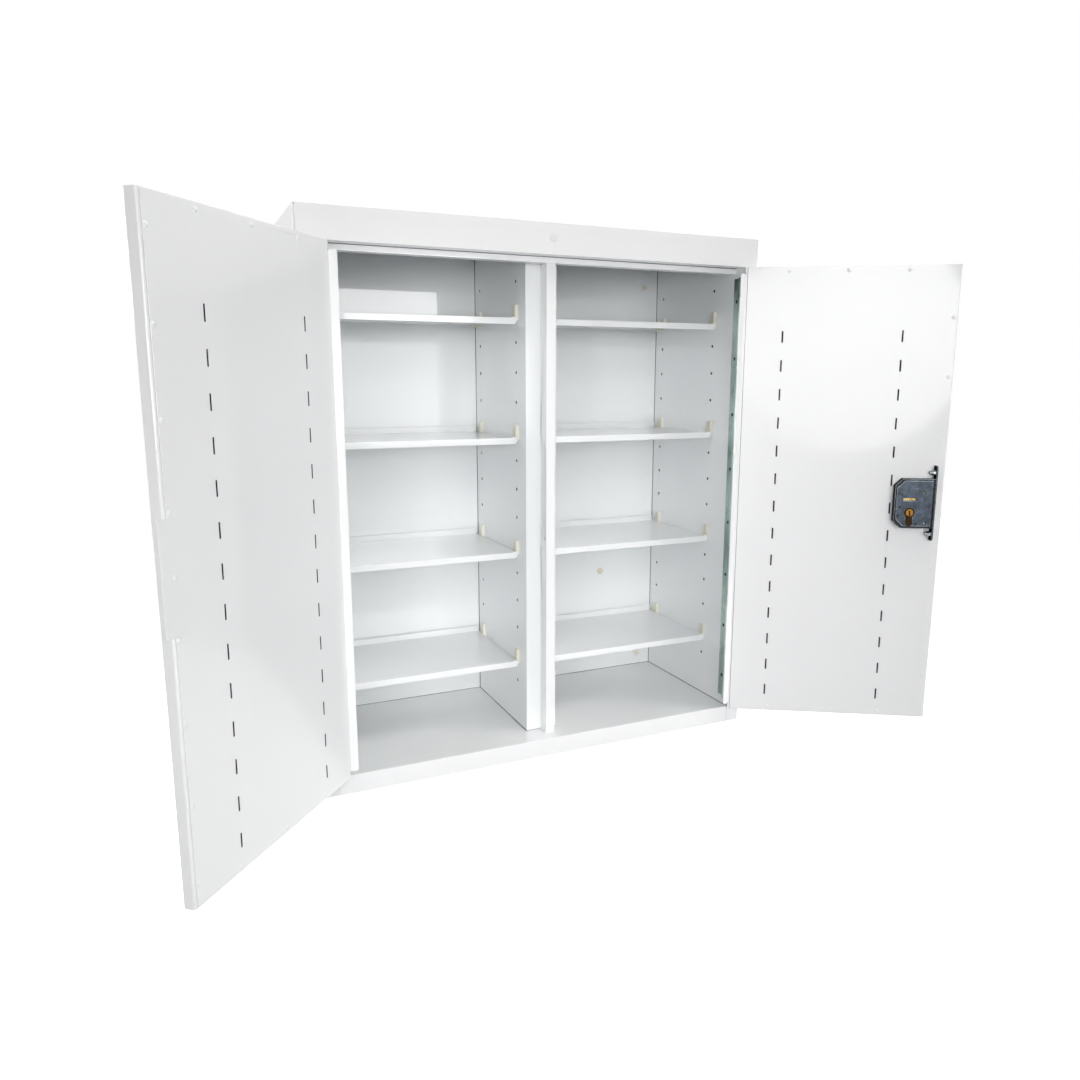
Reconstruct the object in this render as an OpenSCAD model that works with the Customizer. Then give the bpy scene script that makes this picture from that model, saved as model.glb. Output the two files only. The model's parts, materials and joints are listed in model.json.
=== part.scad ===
// Lockable two-door medicine cabinet for wall mounting, folded from steel sheet.
// Frame: X across, Y towards the wall, Z up. The origin is the centre of the wall fixings on the
// back face, so the wall is the plane y = 0 and the front of the cabinet is at y = -cabinet_d.

/* [Cabinet] */
// Overall width
cabinet_w = 800; // [720:1:1000]
// Overall height
cabinet_h = 895; // [860:1:1050]
// Overall depth, wall to front face
cabinet_d = 292; // [270:1:400]
// Thickness of the body sheet
sheet = 1.2; // [0.8:0.1:2]
// Outer side to the face of the inner wall
wall_w = 28; // [20:0.5:44]
// Height of the fascia above the doors
fascia_h = 48; // [40:0.5:80]
// Height of the sill below the doors
sill_h = 31.5; // [24:0.5:44]
// Radius of the upright outer corners
corner_r = 3.5; // [2:0.5:8]
// How far the door stop lies behind the front face
stop_depth = 25.5; // [25:0.1:32]
// Height of the rail that shows under the fascia
rail_h = 9.5; // [8:0.5:14]
// Diameter of the plug in the fascia
plug_d = 13; // [10:0.5:20]

/* [Divider] */
// Width of the hollow divider between the bays
divider_w = 56; // [48:1:80]
// Divider front behind the cabinet front
divider_setback = 48; // [46:1:60]
// Width of the mullion nose that both doors close against
nose_w = 16.5; // [16.5:0.5:18]
// Left edge of the nose, measured from the cabinet's centre
nose_x = -0.5; // [-2:0.1:0]
// Length of the keep opening in the nose
keep_h = 189; // [160:1:220]

/* [Wall fixing] */
// Side of the cabinet to the wall fixings
fixing_in = 60; // [56:1:100]
// Top and bottom of the cabinet to the wall fixings
fixing_drop = 57.5; // [56:0.5:100]
// Diameter of the hole through each fixing grommet
fixing_d = 8; // [6:0.5:10]
// Cabinet's centre to the plugged cable hole
cable_x = 247; // [120:1:300]
// Top of the cabinet to the plugged cable hole
cable_drop = 644; // [600:1:700]
// Diameter of the cable hole
cable_d = 10; // [6:0.5:14]

/* [Shelves] */
// Pitch of the shelf holes and of the slots in the doors
hole_pitch = 50; // [48:0.5:52]
// Top of the cabinet to the first shelf hole
first_hole = 81; // [75:1:90]
// Front edge of a shelf to the front row of shelf holes
front_hole_in = 12; // [12:0.5:40]
// Back face to the rear row of shelf holes
rear_hole_depth = 27; // [24:1:60]
// Diameter of a shelf hole
hole_d = 5; // [4:0.5:7]
// Front of the cabinet to the front edge of a shelf
shelf_front = 78; // [74:0.5:84]
// Thickness of the shelf sheet
shelf_t = 1.2; // [0.8:0.1:2]
// Height of the folded front edge of a shelf
shelf_lip = 10.5; // [8:0.5:20]
// Height of the stop at the back of a shelf
shelf_upstand = 11; // [6:0.5:16]
// Hole centre to the top of the shelf below it
shelf_drop = 10; // [7:0.5:14]
// Holes from one shelf to the next
shelf_step = 4; // [4:1:4]
// Width of a shelf clip
clip_w = 21; // [16:1:21]
// Thickness of a shelf clip
clip_t = 3; // [2:0.2:4]
// Length of the foot of a clip under the shelf
clip_foot = 18; // [12:1:24]
// Radius of the lower corners at the ends of a shelf front
shelf_corner = 6; // [3:0.5:8]

/* [Doors] */
// Thickness of a door with its inner skin
door_t = 18; // [17:0.1:19]
// Thickness of the door sheet
door_sheet = 1; // [0.8:0.1:1.2]
// Gap above and below a door
door_gap = 2; // [1.5:0.1:4]
// Gap between the closed doors
meeting_gap = 3; // [2:0.1:5]
// Angle at which the right door stands open
open_right = 149.2; // [100:0.1:152]
// Angle at which the left door stands open
open_left = 131.6; // [100:0.1:152]
// Width of the folded rim behind the inner skin
rim_w = 20; // [16:0.5:30]
// Rim and bead left bare at the free edge
bead_w = 4.2; // [3.5:0.1:6]
// Hinge side to the first column of slots
slot_s1 = 67.5; // [60:0.5:90]
// Hinge side to the second column of slots
slot_s2 = 270; // [200:0.5:272]
// Length of a slot
slot_l = 20.3; // [16:0.1:26]
// Width of a slot
slot_w = 2.6; // [2:0.1:4]
// Top of the door to the centre of the first slot
first_slot = 119; // [110:1:140]
// Edge of the door to its line of rivets
rivet_edge = 8.5; // [8:0.1:12]
// Pitch of the rivets
rivet_pitch = 100; // [90:1:110]

/* [Hinges] */
// Distance from the inner wall to the hinge pin
pin_off = 5; // [4.6:0.1:6]
// Front of the cabinet to the hinge pin
pin_depth = 4; // [3.8:0.1:4.5]
// Radius of a hinge knuckle
knuckle_r = 4; // [3.6:0.1:4.2]
// Radius of the hinge pin
pin_r = 2; // [1.5:0.1:2.5]
// Thickness of a hinge leaf
leaf_t = 1.8; // [1.4:0.1:2]
// Length of one hinge knuckle
knuckle_l = 30; // [26:1:40]
// Hinge pin to the hinge side of the door
hinge_reach = 5.7; // [5.6:0.1:6]
// Size of the sloping guard along the hinge side, across and inward
guard_x = 8.2; // [6:0.1:8.4]
guard_y = 9.5; // [6:0.1:12]

/* [Lock] */
// Top of the cabinet to the centre of the lock
lock_drop = 458.5; // [440:0.5:480]
// Depth of the lock case
case_w = 67; // [62:0.5:72]
// Height of the lock case
case_h = 88; // [84:0.5:100]
// Thickness of the lock case
case_t = 13.5; // [12.5:0.1:16]
// Length of the forend
forend_h = 134; // [126:1:150]
// Face of the forend to the axis of the cylinder
backset = 43; // [40:0.5:46]
// Centre of the lock to the axis of the cylinder below it
cylinder_drop = 16.2; // [15:0.1:18]
// Travel of the bolt
bolt_throw = 14; // [8:0.5:15]
// Height of the bolt
bolt_h = 24; // [16:0.5:25]
// Thickness of the bolt
bolt_t = 8; // [6:0.1:8.5]

/* [Hidden] */
$fn = 48;

// Room left between pieces that pass or lie beside each other, and overlap that makes cuts clean.
clear = 0.3;
cut = 1;
front = -cabinet_d;
top = cabinet_h / 2;
bottom = -cabinet_h / 2;
fixing_span_x = cabinet_w - 2 * fixing_in;
fixing_span_z = cabinet_h - 2 * fixing_drop;
// Inner faces of the body.
wall_x = cabinet_w / 2 - wall_w;
floor_z = bottom + sill_h;
opening_top = top - fascia_h;
under_top = top - sheet;
back_y = -sheet;
stop_y = front + stop_depth;
fascia_wrap = 12;
rail_flange = 18;
rear_flange = 15;
// Divider and nose.
divider_y = front + divider_setback;
nose_right = nose_x + nose_w;
keep_width = 14;
// Doors: closed position of the hinge side and of the inner face.
pin_x = wall_x - pin_off;
pin_y = front + pin_depth;
hinge_side = pin_x - hinge_reach;
skin_y = stop_y - 1.5;
door_w = hinge_side - meeting_gap / 2;
door_top = opening_top - door_gap;
door_bottom = floor_z + door_gap;
door_h = door_top - door_bottom;
rim_n = -door_sheet - 0.2;
skin_w = door_w - bead_w;
slot_count = floor((door_h - first_slot - slot_l / 2 - 31) / hole_pitch) + 1;
// The inner skin of the left door carries a tongue that laps behind the right door.
tongue_s = door_w + 12;
tongue_step = 0.2 + door_sheet;
// Hinge.
knuckle_count = 2 * floor((door_h - 31) / knuckle_l / 2);
hinge_l = knuckle_count * knuckle_l;
hinge_z = door_bottom + (door_h - hinge_l) / 2;
leaf_end = 27.3;
pin_s = -hinge_reach;
pin_n = pin_y - skin_y;
hinge_screw_pitch = 100;
hinge_screw_count = floor((hinge_l - 80) / hinge_screw_pitch) + 1;
guard_inset = 11;
// Shelves.
hole_count = floor((cabinet_h - sill_h - first_hole - 60) / hole_pitch) + 1;
front_hole_y = front + shelf_front + front_hole_in;
rear_hole_y = -rear_hole_depth;
shelf_back = 5;
// Lock, in the door's own directions: s from the hinge side, n inward from the inner skin.
lock_z = top - lock_drop;
forend_s = door_w - 16.3;
forend_t = 2.5;
case_s = forend_s - forend_t - case_w;
case_chamfer = 12;
case_wall = 1.5;
cover_t = 1.5;
cylinder_s = forend_s - backset;
cylinder_z = lock_z - cylinder_drop;
bolt_n = case_t / 2;
bolt_z = lock_z + 8.5;
plug_r = 6.4;
cylinder_r = 8.5;
cylinder_web = 10;
cylinder_reach = 24.5;
cylinder_in = case_t + 1.5;
escutcheon_t = 2;
cylinder_out = door_t + escutcheon_t + 1.5;
cam_t = 8;
cam_r = 14.2;
notch_w = 17;

white = [0.93, 0.93, 0.93];
zinc = [0.62, 0.66, 0.62];
steel = [0.36, 0.41, 0.48];
brass = [0.80, 0.62, 0.28];
ivory = [0.90, 0.86, 0.74];

// ---- Helpers ----

// Height of the shelf hole with index i, counted down from the top.
function hole_z(i) = top - first_hole - i * hole_pitch;
// Top face of shelf k, counted down from 1.
function shelf_z(k) = hole_z(1 + (k - 1) * shelf_step) - shelf_drop;

// A box from one corner to the other.
module block(low, high) {
  translate(low) cube(high - low);
}

// Left-hand twin of a piece that is drawn for the right-hand side.
module on_side(side) {
  mirror([side < 0 ? 1 : 0, 0, 0]) children();
}

// Carries a piece from the door's own directions to the open door. x is the distance from the
// hinge side, y points inward from the face of the inner skin.
module on_door(side) {
  translate([side * pin_x, pin_y, 0])
    rotate([0, 0, side > 0 ? open_right : -open_left])
      translate([side * (hinge_side - pin_x), skin_y - pin_y, 0])
        mirror([side > 0 ? 1 : 0, 0, 0]) children();
}

// Domed rivet with its head on the plane y = 0, pointing to +y.
module rivet(head_r = 3.6, head_h = 1.2, shank_r = 1.6, shank_l = 3) {
  rotate([-90, 0, 0]) {
    translate([0, 0, -shank_l]) cylinder(r = shank_r, h = shank_l);
    intersection() {
      cylinder(r = head_r, h = head_h);
      translate([0, 0, head_h - dome_r(head_r, head_h)]) sphere(r = dome_r(head_r, head_h));
    }
  }
}
// Radius of the ball whose cap has the given radius and height.
function dome_r(cap_r, cap_h) = (cap_r * cap_r + cap_h * cap_h) / (2 * cap_h);

// Countersunk screw with its flat face on z = 0 and its shank towards -z.
module countersunk_screw(head_r, shank_r, length) {
  head_h = head_r - shank_r;
  difference() {
    rotate_extrude()
      polygon([[0, 0], [head_r, 0], [shank_r, -head_h], [shank_r, -length], [0, -length]]);
    translate([0, 0, -0.8]) cylinder(r = head_r * 0.42, h = 2, $fn = 6);
  }
}
module countersunk_hole(head_r, shank_r, length) {
  rotate_extrude()
    polygon([[0, cut], [head_r + 0.1, cut], [head_r + 0.1, 0], [shank_r + 0.1, shank_r - head_r],
      [shank_r + 0.1, -length], [0, -length]]);
}

// Ring sector used for the rounded corner of a folded sheet, from angle 0 to 90.
module fold(r_out, t) {
  intersection() {
    difference() {
      circle(r = r_out);
      circle(r = r_out - t);
    }
    square(r_out + cut);
  }
}

// ---- Body ----

module back_panel() {
  edge = cabinet_w / 2 - sheet;
  color(white) difference() {
    block([-edge, -sheet, bottom], [edge, 0, top]);
    for (x = [-1, 1], z = [-1, 1])
      translate([x * fixing_span_x / 2, cut, z * fixing_span_z / 2])
        rotate([90, 0, 0]) cylinder(d = fixing_d + 4, h = sheet + 2 * cut);
    translate([cable_x, cut, top - cable_drop]) rotate([90, 0, 0]) cylinder(d = cable_d, h = sheet + 2 * cut);
  }
}

// Blanking plug in the cable hole of the back panel.
module cable_plug() {
  color(ivory) translate([cable_x, 0, top - cable_drop]) rotate([90, 0, 0]) {
    translate([0, 0, sheet]) intersection() {
      cylinder(d = cable_d + 4, h = 1.4);
      translate([0, 0, 1.4 - dome_r(cable_d / 2 + 2, 1.4)]) sphere(r = dome_r(cable_d / 2 + 2, 1.4), $fn = 96);
    }
    cylinder(d = cable_d, h = sheet);
  }
}

// Outline of the side panel: front fold, rounded corner and side.
module side_outline() {
  edge = cabinet_w / 2;
  translate([wall_x, front]) square([wall_w - corner_r, sheet]);
  translate([edge - corner_r, front + corner_r]) rotate(-90) fold(corner_r, sheet);
  translate([edge - sheet, front + corner_r]) square([sheet, cabinet_d - corner_r]);
}
module side_panel() {
  edge = cabinet_w / 2;
  translate([0, 0, bottom]) linear_extrude(opening_top - bottom) side_outline();
  block([edge - sheet, front + fascia_wrap, opening_top], [edge, 0, top]);
  // rear fold, behind which the back panel lies
  block([edge - sheet - rear_flange, back_y - sheet, bottom + sheet], [edge - sheet, back_y, top - sheet]);
}
module left_side_panel() { color(white) on_side(-1) side_panel(); }
module right_side_panel() { color(white) on_side(1) side_panel(); }

// Two rows of shelf holes through a wall that lies across X.
module shelf_holes(x) {
  for (y = [front_hole_y, rear_hole_y], i = [0 : hole_count - 1])
    translate([x, y, hole_z(i)]) rotate([0, 90, 0]) cylinder(d = hole_d, h = 4 * sheet, center = true);
}
module inner_wall() {
  difference() {
    union() {
      block([wall_x, front + sheet, bottom + sheet], [wall_x + sheet, back_y, opening_top]);
      block([wall_x, stop_y + 2 * sheet, opening_top], [wall_x + sheet, back_y, under_top]);
    }
    shelf_holes(wall_x);
    for (i = [0 : hinge_screw_count - 1])
      translate([wall_x, leaf_screw_y(), hinge_screw_z(i)]) rotate([0, 90, 0])
        cylinder(r = 1.85, h = 4 * sheet, center = true);
  }
}
module left_inner_wall() { color(white) on_side(-1) inner_wall(); }
module right_inner_wall() { color(white) on_side(1) inner_wall(); }

module top_panel() {
  edge = cabinet_w / 2 - sheet;
  color(white) block([-edge, front + fascia_wrap + 8, top - sheet], [edge, back_y, top]);
}

// Fascia: a folded box front with rounded ends, a flange on top and one beneath.
module fascia_outline() {
  edge = cabinet_w / 2;
  translate([-edge + corner_r, front]) square([cabinet_w - 2 * corner_r, sheet]);
  for (side = [-1, 1]) mirror([side < 0 ? 1 : 0, 0]) {
    translate([edge - corner_r, front + corner_r]) rotate(-90) fold(corner_r, sheet);
    translate([edge - sheet, front + corner_r]) square([sheet, fascia_wrap - corner_r]);
  }
}
module fascia() {
  edge = cabinet_w / 2 - corner_r;
  plug_z = (top + opening_top) / 2 + 1;
  color(white) difference() {
    union() {
      translate([0, 0, opening_top]) linear_extrude(fascia_h) fascia_outline();
      block([-edge, front, top - sheet], [edge, front + fascia_wrap + 8, top]);
      block([-edge, front, opening_top], [edge, stop_y, opening_top + sheet]);
    }
    translate([0, front - cut, plug_z]) rotate([-90, 0, 0]) cylinder(d = plug_d - 3, h = 2 * cut + sheet);
  }
}
module fascia_plug() {
  plug_z = (top + opening_top) / 2 + 1;
  color(white) translate([0, front, plug_z]) rotate([90, 0, 0]) {
    intersection() {
      cylinder(d = plug_d, h = 1.2);
      translate([0, 0, 1.2 - dome_r(plug_d / 2, 1.2)]) sphere(r = dome_r(plug_d / 2, 1.2), $fn = 96);
    }
    translate([0, 0, -4]) cylinder(d = plug_d - 3.2, h = 4);
  }
}
// Angle under the fascia: the face is the stop for the top of the doors.
module top_rail() {
  low = opening_top - rail_h;
  color(white) {
    block([-wall_x, stop_y, low], [wall_x, stop_y + sheet, opening_top + sheet]);
    block([-wall_x, stop_y, low], [wall_x, stop_y + rail_flange, low + sheet]);
  }
}

module floor_panel() {
  color(white) block([-wall_x, front + sheet, floor_z - sheet], [wall_x, back_y, floor_z]);
}
module bottom_panel() {
  edge = cabinet_w / 2 - sheet;
  color(white) {
    block([-edge, front + corner_r, bottom], [edge, back_y, bottom + sheet]);
    block([-wall_x, front + sheet, bottom], [wall_x, front + corner_r + 1, bottom + sheet]);
  }
}
// Front of the base between the side panels.
module sill() {
  color(white) {
    block([-wall_x, front, bottom], [wall_x, front + sheet, floor_z]);
    block([-wall_x, front, floor_z - 2 * sheet], [wall_x, front + 30, floor_z - sheet]);
  }
}
// Grommets that line the four wall fixing holes.
module wall_grommets() {
  color(ivory) for (x = [-1, 1], z = [-1, 1])
    translate([x * fixing_span_x / 2, 0, z * fixing_span_z / 2]) rotate([90, 0, 0])
      rotate_extrude() polygon([[fixing_d / 2, 0], [fixing_d / 2 + 2, 0], [fixing_d / 2 + 2, sheet],
        [fixing_d / 2 + 4.5, sheet], [fixing_d / 2 + 4, sheet + 1.5], [fixing_d / 2, sheet + 2]]);
}

// ---- Divider ----

// One wall of the divider with its front flange, which meets the nose.
module divider_wall(side) {
  face = side * divider_w / 2;
  inner = side * (divider_w / 2 - sheet);
  nose_edge = side < 0 ? nose_x : nose_right;
  difference() {
    union() {
      block([min(face, inner), divider_y, floor_z], [max(face, inner), back_y, under_top]);
      block([min(face, nose_edge), divider_y, floor_z], [max(face, nose_edge), divider_y + sheet, under_top]);
    }
    shelf_holes((face + inner) / 2);
  }
}
module left_divider_wall() { color(white) divider_wall(-1); }
module right_divider_wall() { color(white) divider_wall(1); }

keep_y = divider_y - keep_width;
keep_z = lock_z + 26;
keep_screw_y = stop_y + 5.5;
keep_screw_zs = [keep_z - keep_h / 2 + 16, keep_z + keep_h / 2 - 16];

// Nose: a channel that both doors close against, with the keep for the bolt.
module mullion_nose() {
  high = opening_top - rail_h;
  color(white) difference() {
    block([nose_x, stop_y, floor_z], [nose_right, divider_y + sheet, high]);
    block([nose_x + sheet, stop_y + sheet, floor_z - cut],
      [nose_right - sheet, divider_y + 2 * sheet, high + cut]);
    // opening on the left, closed by the keep plate, with round reliefs at the fold
    block([nose_x - cut, keep_y, keep_z - keep_h / 2],
      [nose_x + sheet + 0.1, divider_y, keep_z + keep_h / 2]);
    for (z = [-1, 1]) translate([nose_x - cut, divider_y - 0.6, keep_z + z * keep_h / 2])
      rotate([0, 90, 0]) cylinder(r = 1.6, h = 2 * cut + sheet);
    for (z = keep_screw_zs) translate([nose_x, keep_screw_y, z])
      rotate([0, -90, 0]) countersunk_hole(2.8, 1.5, 4);
    // slot that takes the bolt
    block([nose_right - sheet - 0.1, skin_y + bolt_n - bolt_t / 2 - 1.2, bolt_z - bolt_h / 2 - 2],
      [nose_right + cut, skin_y + bolt_n + bolt_t / 2 + 1.2, bolt_z + bolt_h / 2 + 2]);
  }
}
module keep_plate() {
  color(white) difference() {
    block([nose_x + sheet, stop_y + sheet + clear, keep_z - keep_h / 2 - 6],
      [nose_x + 2 * sheet, divider_y + sheet, keep_z + keep_h / 2 + 6]);
    for (z = keep_screw_zs) translate([nose_x, keep_screw_y, z])
      rotate([0, 90, 0]) cylinder(r = 1.6, h = 4 * sheet);
  }
}
module keep_plate_screws() {
  color(zinc) for (z = keep_screw_zs) translate([nose_x, keep_screw_y, z])
    rotate([0, -90, 0]) countersunk_screw(2.8, 1.5, 4);
}

// ---- Shelves ----

// Shelf k: flat, folded front edge with round lower corners and a return, and stop at the back.
module shelf(side, k) {
  length = wall_x - divider_w / 2 - 2 * (clip_t + 0.4);
  x0 = side > 0 ? divider_w / 2 + clip_t + 0.4 : -wall_x + clip_t + 0.4;
  y0 = front + shelf_front;
  y1 = back_y - shelf_back;
  r = shelf_corner;
  color(white) translate([x0, 0, shelf_z(k)]) {
    block([0, y0, -shelf_t], [length, y1, 0]);
    block([0, y0, -shelf_lip + r], [length, y0 + shelf_t, 0]);
    block([r, y0, -shelf_lip], [length - r, y0 + shelf_t, -shelf_lip + r + 1]);
    for (x = [r, length - r]) translate([x, y0, -shelf_lip + r]) rotate([-90, 0, 0])
      cylinder(r = r, h = shelf_t);
    block([r + 2, y0, -shelf_lip], [length - r - 2, y0 + 9, -shelf_lip + shelf_t]);
    block([0, y1 - shelf_t, -shelf_t], [length, y1, shelf_upstand]);
  }
}
module shelf_left_1() { shelf(-1, 1); }
module shelf_left_2() { shelf(-1, 2); }
module shelf_left_3() { shelf(-1, 3); }
module shelf_left_4() { shelf(-1, 4); }
module shelf_right_1() { shelf(1, 1); }
module shelf_right_2() { shelf(1, 2); }
module shelf_right_3() { shelf(1, 3); }
module shelf_right_4() { shelf(1, 4); }

// Clip: a peg in the hole, a gabled plate against the wall, a rib along its front above the shelf
// and a foot under the shelf. It points to +x from a wall at x = 0, with the hole at the origin.
module clip() {
  foot = -shelf_drop - shelf_t;
  rotate([0, -90, 0]) cylinder(d = hole_d - 0.2, h = 6);
  rotate([90, 0, 90]) linear_extrude(clip_t)
    polygon([[-clip_w / 2, foot - clip_t], [clip_w / 2, foot - clip_t], [clip_w / 2, foot + 5],
      [3, 11], [-clip_w / 2, 11]]);
  block([0, -clip_w / 2, -shelf_drop + 0.4], [clip_t + 3.2, -clip_w / 2 + 3, 11]);
  block([0, -clip_w / 2, foot - clip_t], [clip_foot, clip_w / 2, foot]);
}
module bay_clips(x0, x1) {
  color(ivory) for (k = [1 : 4], y = [front_hole_y, rear_hole_y]) {
    translate([x0, y, shelf_z(k) + shelf_drop]) clip();
    translate([x1, y, shelf_z(k) + shelf_drop]) mirror([1, 0, 0]) clip();
  }
}
module left_shelf_clips() { bay_clips(-wall_x, -divider_w / 2); }
module right_shelf_clips() { bay_clips(divider_w / 2, wall_x); }

// ---- Hinges ----

function leaf_screw_y() = (pin_y + 4 + front + leaf_end) / 2;
function hinge_screw_z(i) = hinge_z + hinge_l / 2 + (i - (hinge_screw_count - 1) / 2) * hinge_screw_pitch;
// Foot and length of a knuckle; even ones belong to the body, odd ones to the door.
function knuckle_z(i) = hinge_z + i * knuckle_l + clear / 2;
knuckle_h = knuckle_l - clear;

module knuckles(first) {
  for (i = [first : 2 : knuckle_count - 1]) translate([0, 0, knuckle_z(i)])
    children();
}
module hinge_bore(x, y) {
  translate([x, y, hinge_z - cut]) cylinder(r = pin_r + 0.05, h = hinge_l + 2 * cut);
}
module body_leaf() {
  difference() {
    union() {
      block([wall_x - leaf_t, pin_y + knuckle_r - 0.4, hinge_z], [wall_x, front + leaf_end, hinge_z + hinge_l]);
      knuckles(0) {
        translate([pin_x, pin_y, 0]) cylinder(r = knuckle_r, h = knuckle_h);
        block([pin_x + knuckle_r - 1.5, pin_y - 1.5, 0], [wall_x, pin_y + knuckle_r, knuckle_h]);
      }
    }
    hinge_bore(pin_x, pin_y);
    for (i = [0 : hinge_screw_count - 1]) translate([wall_x - leaf_t, leaf_screw_y(), hinge_screw_z(i)])
      rotate([0, -90, 0]) countersunk_hole(3.2, 1.75, 6);
  }
}
module body_leaf_screws() {
  for (i = [0 : hinge_screw_count - 1]) translate([wall_x - leaf_t, leaf_screw_y(), hinge_screw_z(i)])
    rotate([0, -90, 0]) countersunk_screw(3.2, 1.75, 8);
}
module hinge_pin() {
  translate([pin_x, pin_y, hinge_z]) cylinder(r = pin_r, h = hinge_l);
  for (z = [hinge_z - 1, hinge_z + hinge_l]) translate([pin_x, pin_y, z]) cylinder(r = pin_r + 1, h = 1);
}
// Leaf on the hinge side of the door, in the door's own directions.
module door_leaf() {
  screw_n = -door_t / 2;
  difference() {
    union() {
      block([-leaf_t, pin_n + 2.8, hinge_z], [0, -2, hinge_z + hinge_l]);
      knuckles(1) {
        translate([pin_s, pin_n, 0]) cylinder(r = knuckle_r, h = knuckle_h);
        block([pin_s + 2.2, pin_n, 0], [-0.6, pin_n + 3, knuckle_h]);
      }
    }
    hinge_bore(pin_s, pin_n);
    for (i = [0 : hinge_screw_count - 2])
      translate([-leaf_t, screw_n, hinge_screw_z(i) + hinge_screw_pitch / 2])
        rotate([0, -90, 0]) countersunk_hole(3.2, 1.75, 6);
  }
}
module door_leaf_screws() {
  for (i = [0 : hinge_screw_count - 2])
    translate([-leaf_t, -door_t / 2, hinge_screw_z(i) + hinge_screw_pitch / 2])
      rotate([0, -90, 0]) countersunk_screw(3.2, 1.75, 8);
}
module left_hinge_body_leaf() { color(zinc) on_side(-1) body_leaf(); }
module left_hinge_pin() { color(zinc) on_side(-1) hinge_pin(); }
module left_hinge_body_screws() { color(zinc) on_side(-1) body_leaf_screws(); }
module left_hinge_door_leaf() { color(zinc) on_door(-1) door_leaf(); }
module left_hinge_door_screws() { color(zinc) on_door(-1) door_leaf_screws(); }
module right_hinge_body_leaf() { color(zinc) on_side(1) body_leaf(); }
module right_hinge_pin() { color(zinc) on_side(1) hinge_pin(); }
module right_hinge_body_screws() { color(zinc) on_side(1) body_leaf_screws(); }
module right_hinge_door_leaf() { color(zinc) on_door(1) door_leaf(); }
module right_hinge_door_screws() { color(zinc) on_door(1) door_leaf_screws(); }

// ---- Doors ----

edge_r = 2.4;
top_rivets = [for (i = [0 : floor((skin_w - 100) / rivet_pitch)]) 74 + i * rivet_pitch];
// Rivets along the free edge, up and down from the lock to short of the corners. The left door
// has them nearer to the lock, and one on the tongue.
function edge_rivets(side) = let (first = side > 0 ? 120 : forend_h / 2 + 5, end = 28)
  concat(side > 0 ? [] : [lock_z],
    [for (z = [lock_z + first : rivet_pitch : door_top - end]) z],
    [for (z = [lock_z - first : -rivet_pitch : door_bottom + end]) z]);

// Places its children at every rivet, in the door's own directions.
module rivet_places(side) {
  for (s = top_rivets, z = [door_top - rivet_edge, door_bottom + rivet_edge])
    translate([s, 0, z]) children();
  for (z = edge_rivets(side)) translate([door_w - rivet_edge, side < 0 && z == lock_z ? tongue_step : 0, z])
    children();
}

// Section of the tray across the door: rounded box, open behind, with a rim.
module tray_section(low, high, r) {
  translate([low + r, -door_t]) square([high - low - 2 * r, 1]);
  translate([low, -door_t + r]) square([high - low, door_t + rim_n - 2 * r]);
  translate([low + r, rim_n - r]) square([high - low - 2 * r, r]);
  for (x = [low + r, high - r], y = [-door_t + r, rim_n - r]) translate([x, y]) circle(r = r);
}
module door_tray(side) {
  t = door_sheet;
  difference() {
    translate([0, 0, door_bottom]) linear_extrude(door_h) tray_section(0, door_w, edge_r);
    // hollow inside
    block([t, -door_t + t, door_bottom + t], [door_w - t, rim_n - t, door_top - t]);
    // open back inside the rim, which has no part on the hinge side
    block([t, rim_n - t - cut, door_bottom + rim_w], [door_w - rim_w, 1, door_top - rim_w]);
    rivet_places(side) rotate([90, 0, 0]) cylinder(r = 1.65, h = 6);
    for (i = [0 : hinge_screw_count - 2])
      translate([0, -door_t / 2, hinge_screw_z(i) + hinge_screw_pitch / 2])
        rotate([0, 90, 0]) cylinder(r = 1.85, h = 4 * t, center = true);
    if (side > 0) {
      // slot for the cylinder through the outer face
      translate([cylinder_s, 0, cylinder_z]) rotate([90, 0, 0])
        linear_extrude(door_t + cut) cylinder_outline(clear);
      // notch in the rim for the forend
      block([forend_s - forend_t - 1, rim_n - t - cut, lock_z - forend_h / 2 - 1],
        [forend_s + 1, 1, lock_z + forend_h / 2 + 1]);
    }
  }
}

// Slot with round ends, standing up, cut through the skin.
module slot(s, z) {
  translate([s, cut, z]) rotate([90, 0, 0]) linear_extrude(door_sheet + 2 * cut) {
    square([slot_w, slot_l - slot_w], center = true);
    for (e = [-1, 1]) translate([0, e * (slot_l - slot_w) / 2]) circle(d = slot_w);
  }
}
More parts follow.
